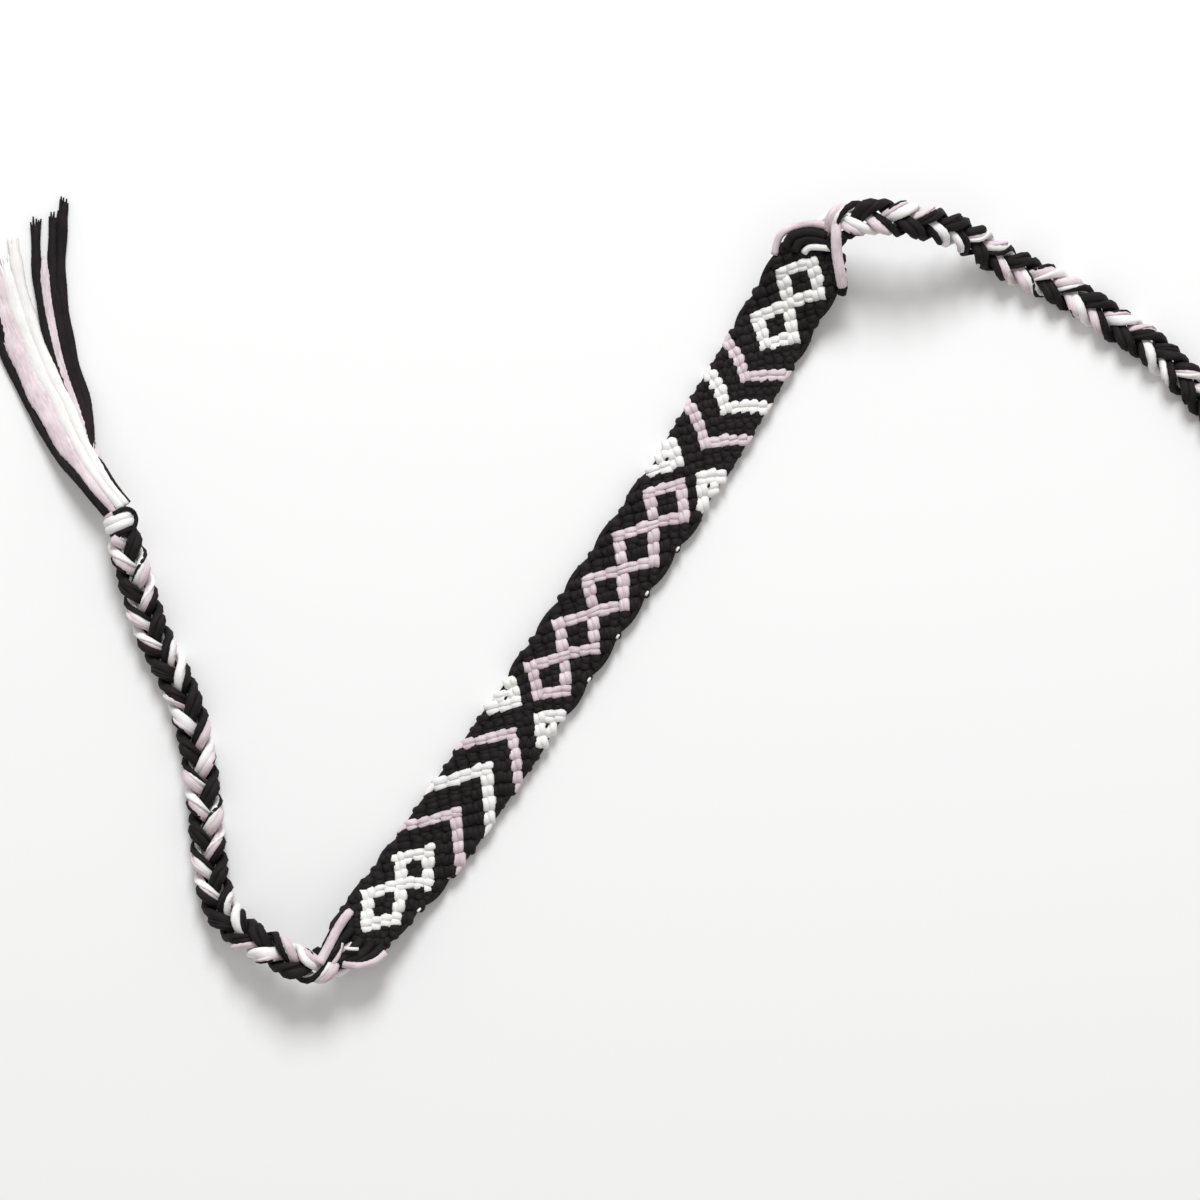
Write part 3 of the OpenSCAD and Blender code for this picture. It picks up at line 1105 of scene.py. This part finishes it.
@dataclass
class EndKnot:
    """The knot that closes a braid: strings wrapped slantwise round the gathered core."""

    side: Side
    end: Array
    way: Array
    gap: float = 0.15
    length: float = 4.4
    core_radius: float = 1.35
    # Place along the knot, string radius, radius of the ring, slant, colour
    wraps: tuple[tuple[float, float, float, float, Floss], ...] = (
        (-1.35, 0.5, 1.2, 6.0, BLACK),
        (-0.5, 0.68, 1.45, 8.0, WHITE),
        (0.4, 0.68, 1.42, 8.0, WHITE),
        (1.15, 0.45, 1.3, 8.0, PINK),
    )
    # The string that loops over the wraps: along the knot, across it, height over its middle
    loop: Array = field(default_factory=lambda: np.array([
        [1.15, 0.3, 1.75],
        [1.4, -0.9, 1.75],
        [1.3, -1.7, 1.25],
        [0.7, -2.25, 0.6],
        [-0.1, -2.35, 0.35],
        [-1.0, -2.0, 0.5],
        [-1.8, -1.4, 0.7],
    ]))
    loop_half: float = 0.3
    core_narrow: float = 0.25
    wrap_rings: int = 40
    wrap_sides: int = 16
    wrap_plies: int = 6
    wrap_ridge: float = 0.08

    def wrap(self, axis: Array, radius: float, major: float) -> tuple[Array, Array]:
        """One string wrapped once round an axis through the origin.

        Its middle line is a circle round the axis. A ring of points stands square to that line at
        each step, and the ring's radius swells and sinks with the absolute cosine of the angle
        round the string plus the angle round the knot, which gives the slanting plies.

        Args:
            axis: Unit direction that the string runs round.
            radius: Radius of the string.
            major: Radius of the ring that it forms.

        Returns:
            The rings of one closed tube, and the length along it.
        """
        round_knot = np.arange(self.wrap_rings) / self.wrap_rings
        round_string = np.arange(self.wrap_sides) / self.wrap_sides - 0.25
        t, psi = 2 * np.pi * round_knot, 2 * np.pi * round_string
        lobes = np.abs(np.cos(np.pi * self.wrap_plies * (round_string[None, :] + round_knot[:, None])))
        girth = radius * (1 + self.wrap_ridge * (lobes - 0.6))
        out = np.cos(t)[:, None] * np.cross(UPRIGHT, axis) + np.sin(t)[:, None] * UPRIGHT
        ring = np.cos(psi)[None, :, None] * axis - np.sin(psi)[None, :, None] * out[:, None]
        lengths = np.append(t, 2 * np.pi) * major
        return ((major * out)[:, None] + girth[..., None] * ring)[None], lengths[None]

    def build(self, wardrobe: Wardrobe) -> None:
        """Makes the wraps, the loop and the core, one piece for each colour.

        Args:
            wardrobe: What dresses the pieces.
        """
        node = f"end_knot_{self.side.value}"
        middle = self.end + (self.gap + self.length / 2) * self.way
        up = UPRIGHT
        side = np.cross(up, self.way)
        skeins = {floss: Skein(floss) for floss in Floss}
        for place, radius, major, slant, floss in self.wraps:
            axis = math.cos(math.radians(slant)) * self.way + math.sin(math.radians(slant)) * side
            rings, lengths = self.wrap(axis, radius, major)
            skeins[floss].add(middle + place * self.way + rings, lengths, closed=True)
        rail = Rail(middle + self.loop @ np.stack([self.way, side, up]))
        path = rail.point(np.linspace(0.0, rail.length, 24))
        skeins[BLACK].add(*String(radius=self.loop_half, ridge=0.1, sides=12).rings(path, up))
        s = np.linspace(-self.length / 2, self.length / 2, 12)
        fit = 1.0 - self.core_narrow * np.abs(s / (self.length / 2)) ** 3
        core = String(radius=self.core_radius, plies=10, ridge=0.12, sides=30)
        rings, lengths = core.rings(middle + s[:, None] * self.way, up, fit)
        skeins[BLACK].add(rings, lengths)
        wardrobe.dress_all(skeins, node, node)


@dataclass
class Tassel:
    """Ten cut strings that leave the end knot in a bundle and settle on the surface.

    Each string spreads a little flat, and its six plies part at the cut end. Lengths are in
    millimetres.
    """

    side: Side
    route: Array
    # Place across after the spread, place across at the route's end, length, half width, layer, colour
    strings: tuple[tuple[float, float, float, float, int, Floss], ...] = (
        (3.2, 9.0, 34.0, 0.62, 0, BLACK),
        (2.4, 7.9, 35.0, 0.62, 0, BLACK),
        (1.5, 7.0, 37.0, 1.3, 1, PINK),
        (-0.3, 5.0, 36.0, 0.9, 1, WHITE),
        (-1.4, 3.4, 38.5, 0.8, 1, WHITE),
        (-1.8, -0.5, 41.0, 0.66, 0, BLACK),
        (-2.3, -1.9, 36.5, 0.9, 0, PINK),
        (-3.1, -3.1, 42.0, 0.66, 0, BLACK),
        (-3.4, -3.6, 33.0, 0.6, 0, BLACK),
        (-3.9, -4.4, 44.0, 0.66, 0, BLACK),
    )
    bundle_wide: float = 1.5
    bundle_high: float = 1.05
    spread_len: float = 16.0
    settle_len: float = 14.0
    tall: float = 0.5
    slack: float = 0.1
    slack_len: float = 7.5
    layer_rise: float = 0.7
    start_half: float = 0.55
    inside: float = 1.0
    # How far the string stops short of its length, and how much it thins until there
    cut_short: float = 0.8
    cut_thin: float = 0.55
    fray_len: float = 3.0
    fray_wide: float = 0.5
    fray_points: int = 8
    fray_thin: float = 0.5
    fray_jitter: float = 0.12
    # Least and greatest difference of a ply's length and of its tip's height
    fray_reach: tuple[float, float] = (-0.7, 0.5)
    fray_lift: tuple[float, float] = (-0.05, 0.15)
    ply_radius: float = 0.2
    ply_spread: float = 1.5
    ply_sink: float = 0.1
    plies: int = 6
    # How far one string's plies and map lie from the next one's
    ply_phase: float = 0.21
    map_step: float = 60.0

    def __post_init__(self) -> None:
        """Works out the rail."""
        self.rail = Rail(self.route)

    def path(self, i: int, s: Array) -> Array:
        """Middle line of string i: from its place in the bundle out to its own line on the surface.

        Args:
            i: Number of the string.
            s: Lengths along the tassel's rail.

        Returns:
            One point in each row.
        """
        settled, tip, _, _, layer, _ = self.strings[i]
        angle = 2 * np.pi * i / len(self.strings)
        gather = ease(s / self.spread_len)
        past = np.maximum(s - self.spread_len, 0.0)
        loose = mix(settled, tip, past / (self.rail.length - self.spread_len))
        _, across, _ = self.rail.frame(s)
        wide = mix(self.bundle_wide * math.cos(angle), loose, gather)
        high = (1 - ease(2 * s / self.spread_len)) * self.bundle_high * math.sin(angle)
        high = high + layer * self.layer_rise * gather * (1 - ease((s - self.spread_len) / self.settle_len))
        return self.rail.point(s) + wide[:, None] * across + heights(high)

    def fray(self, i: int, rng: np.random.Generator) -> list[tuple[Array, Array]]:
        """The six plies of string i's cut end, which part as they run on past it.

        Args:
            i: Number of the string.
            rng: Source of the small unevenness.

        Returns:
            The path of each ply and its thinning towards the tip.
        """
        _, _, length, half, _, _ = self.strings[i]
        plies = []
        t = np.linspace(0.0, 1.0, self.fray_points)
        for ply in range(self.plies):
            reach = length + rng.uniform(*self.fray_reach)
            s = np.linspace(length - self.fray_len, reach, self.fray_points)
            _, across, _ = self.rail.frame(s)
            place = (ply - (self.plies - 1) / 2) / self.plies * self.ply_spread * half
            wide = place * (1.0 + self.fray_wide * t**2) + rng.normal(0.0, self.fray_jitter) * t**2
            high = self.ply_radius * (ply % 2) * (1 - t) + rng.uniform(*self.fray_lift) * t
            path = self.path(i, s) + wide[:, None] * across + heights(high - self.ply_sink)
            plies.append((path, 1.0 - self.fray_thin * t**3))
        return plies

    def build(self, wardrobe: Wardrobe) -> None:
        """Makes the strings and their frayed tips, one piece for each colour.

        Args:
            wardrobe: What dresses the pieces.
        """
        rng = np.random.default_rng(SEED)
        node = f"tassel_{self.side.value}"
        string = String(radius=1.0, ridge=0.16, pitch=9.0)
        ply_string = String(radius=self.ply_radius, ridge=0.0, sides=8)
        skeins = {floss: Skein(floss) for floss in Floss}
        for i, (_, _, length, half, _, floss) in enumerate(self.strings):
            s = np.linspace(-self.inside, length - self.cut_short, int(length / string.step))
            spread = ease(s / self.spread_len)
            cut = ease((s - length + self.fray_len) / (self.fray_len - self.cut_short))
            thin = 1.0 - self.cut_thin * cut
            slack = 1.0 + self.slack * np.sin(2 * np.pi * (s / self.slack_len + rng.uniform()))
            wide = mix(self.start_half, half, spread) * thin * slack
            tall = mix(self.start_half, self.tall, spread) * thin
            rings, lengths = string.rings(self.path(i, s), UPRIGHT, wide, tall, self.ply_phase * i)
            skeins[floss].add(rings, lengths + self.map_step * i)
            for path, thinning in self.fray(i, rng):
                rings, lengths = ply_string.rings(path, UPRIGHT, thinning, thinning)
                skeins[floss].add(rings, lengths + self.map_step * i)
        wardrobe.dress_all(skeins, node, node)


@dataclass
class Studio:
    """The pale floor, the soft light from the top of the picture, and the camera straight above.

    Lengths are in millimetres; the picture's upward direction lies in the floor.
    """

    centre: tuple[float, float] = (-1.5, 0.1)
    up: tuple[float, float] = (0.825, 0.565)
    frame_width: float = 160.0
    lens: float = 160.0
    sensor: float = 36.0
    floor_half: float = 2000.0
    floor_colour: Colour = (0.9, 0.9, 0.9)
    floor_roughness: float = 0.8
    floor_gloss: float = 0.1
    key_distance: float = 900.0
    key_height: float = 42.0
    key_size: float = 360.0
    key_power: float = 6.8
    key_colour: Colour = (0.985, 1.0, 1.02)
    sky: float = 0.53
    sky_colour: Colour = (1.0, 0.98, 0.955)

    def build(self) -> None:
        """Sets the stage."""
        self.add_floor()
        self.add_key()
        self.add_sky()
        self.add_camera()
        bpy.context.scene.view_settings.view_transform = "Standard"

    def add_floor(self) -> None:
        """A flat pale sheet under the bracelet."""
        half = self.floor_half * MM
        corners = [(-half, -half, 0), (half, -half, 0), (half, half, 0), (-half, half, 0)]
        mesh = bpy.data.meshes.new("floor")
        mesh.from_pydata(corners, [], [(0, 1, 2, 3)])
        material = bpy.data.materials.new("floor_paper")
        tree = Tree(material)
        tree.fill(tree.shader, {
            "Base Color": (*self.floor_colour, 1.0),
            "Roughness": self.floor_roughness,
            "Specular IOR Level": self.floor_gloss,
        })
        mesh.materials.append(material)
        linked("floor", mesh)

    def add_key(self) -> None:
        """A wide soft lamp towards the top of the picture."""
        height = math.radians(self.key_height)
        ux, uy = self.up
        level = math.cos(height) / math.hypot(ux, uy)
        toward = np.array([ux * level, uy * level, math.sin(height)])
        data = bpy.data.lights.new("key", "AREA")
        data.shape = "DISK"
        data.size = self.key_size * MM
        data.energy = self.key_power
        data.color = self.key_colour
        turn = Vector(toward).to_track_quat("Z", "Y").to_matrix()
        place = Matrix.Translation(Vector(toward * self.key_distance * MM))
        linked("key", data).matrix_world = place @ turn.to_4x4()

    def add_sky(self) -> None:
        """An even pale sky that fills the shadows."""
        world = bpy.data.worlds.new("sky")
        world.use_nodes = True
        background = world.node_tree.nodes["Background"]
        background.inputs["Color"].default_value = (*self.sky_colour, 1.0)
        background.inputs["Strength"].default_value = self.sky
        bpy.context.scene.world = world

    def add_camera(self) -> None:
        """A long lens straight above, turned so that the picture's top is upward."""
        data = bpy.data.cameras.new("camera")
        data.lens = self.lens
        data.sensor_width = self.sensor
        camera = linked("camera", data)
        ux, uy = np.array(self.up) / math.hypot(*self.up)
        x, y = self.centre
        z = self.frame_width * self.lens / self.sensor
        camera.matrix_world = Matrix((
            (uy, ux, 0.0, x * MM),
            (-ux, uy, 0.0, y * MM),
            (0.0, 0.0, 1.0, z * MM),
            (0.0, 0.0, 0.0, 1.0),
        ))
        data.clip_start = 0.01
        data.clip_end = 10.0
        bpy.context.scene.camera = camera


@dataclass
class Bracelet:
    """The whole bracelet: the band and, at each end, a braid, an end knot and a tassel."""

    band: Band = field(default_factory=Band)
    strand_h: float = 1.25
    rise: float = 1.1
    knot_d: float = 4.1
    knot_len: float = 4.4
    gap: float = 0.15
    lock_d: float = 1.0
    # Heights over the surface: a lying braid, a lying knot, a lying tassel, and the left knot above that
    braid_clear: float = 0.03
    knot_clear: float = 0.02
    tassel_clear: float = 0.1
    knot_lift_left: float = 1.4

    def left_route(self) -> Array:
        """Middle line of the left braid, from the band's end to the end knot.

        Returns:
            One point in each row: along X, along Y, height.
        """
        high = self.band.lift_left + self.band.thickness / 2
        low = self.rise + self.strand_h / 2 + self.braid_clear
        knot = self.knot_d / 2 + self.knot_clear + self.knot_lift_left
        return np.array([
            [-57.0, 1.6, high],
            [-59.3, 1.9, high + 0.7],
            [-61.8, 2.9, high + 1.4],
            [-63.6, 5.2, high + 1.8],
            [-64.0, 8.0, high + 1.8],
            [-64.4, 11.0, high + 1.2],
            [-64.7, 14.6, low + 1.9],
            [-63.8, 18.4, low + 0.8],
            [-61.5, 21.4, low + 0.2],
            [-58.5, 24.2, low],
            [-54.7, 27.2, low],
            [-51.1, 30.4, low],
            [-47.4, 33.8, low],
            [-44.0, 37.8, low],
            [-41.5, 41.7, low],
            [-39.6, 45.3, low],
            [-37.4, 48.6, low + 0.2],
            [-34.8, 51.7, low + 0.7],
            [-32.4, 54.5, knot - 0.3],
            [-30.5, 56.8, knot],
        ])

    def right_route(self) -> Array:
        """Middle line of the right braid, from the band's end to the end knot.

        Returns:
            One point in each row: along X, along Y, height.
        """
        high = self.band.lift_right + self.band.thickness / 2
        low = self.rise + self.strand_h / 2 + self.braid_clear
        knot = self.knot_d / 2 + self.knot_clear
        return np.array([
            [53.05, 2.3, high],
            [55.1, 2.5, high + 1.3],
            [57.5, 1.9, high + 3.0],
            [59.6, 0.0, high + 4.2],
            [61.3, -2.5, high + 4.8],
            [62.8, -5.3, high + 4.4],
            [64.2, -8.4, high + 3.0],
            [65.3, -11.6, high + 1.2],
            [65.8, -15.0, low + 2.3],
            [65.9, -18.6, low + 0.9],
            [66.5, -22.3, low + 0.2],
            [67.2, -26.5, low],
            [67.5, -31.0, low],
            [67.5, -36.0, low],
            [67.7, -40.5, low],
            [67.1, -45.0, low],
            [66.2, -50.0, low],
            [64.7, -55.0, low],
            [62.7, -59.8, low],
            [60.6, -64.2, knot],
        ])

    def tassel_route(self, braid: Array, way: Array, rest: list[list[float]]) -> Array:
        """Middle line of a tassel, from the outer face of its end knot."""
        start = braid[-1] + (2 * self.gap + self.knot_len) * way
        return np.vstack([start, rest])

    def build(self) -> None:
        """Makes every piece in order."""
        wardrobe = Wardrobe()
        self.band.build(wardrobe)
        lock_z = self.lock_d / 2 + self.tassel_clear
        knot = self.knot_d / 2 + self.knot_clear
        ends = (
            (Side.LEFT, self.left_route(), [
                [-26.1, 64.6, knot + self.knot_lift_left],
                [-23.2, 70.7, lock_z + 1],
                [-19.1, 77.0, lock_z],
                [-13.8, 82.8, lock_z],
                [-8.0, 87.8, lock_z],
                [1.4, 93.8, lock_z],
            ]),
            (Side.RIGHT, self.right_route(), [
                [56.3, -72.2, knot],
                [52.6, -78.6, lock_z + 0.3],
                [48.2, -84.6, lock_z],
                [43.0, -90.0, lock_z],
                [37.2, -94.8, lock_z],
                [28.2, -100.0, lock_z],
            ]),
        )
        for side, route, rest in ends:
            level = route[-1] - route[-2]
            level[2] = 0.0
            way = unit(level)
            Braid(side, route).build(wardrobe)
            EndKnot(side, route[-1], way).build(wardrobe)
            Tassel(side, self.tassel_route(route, way, rest)).build(wardrobe)


def main() -> None:
    """Loads the frame, dresses the bracelet, sets the stage and notes the sizes."""
    logging.basicConfig(level=logging.INFO, format="%(name)s: %(message)s")
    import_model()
    Bracelet().build()
    Studio().build()


if __name__ == "__main__":
    main()
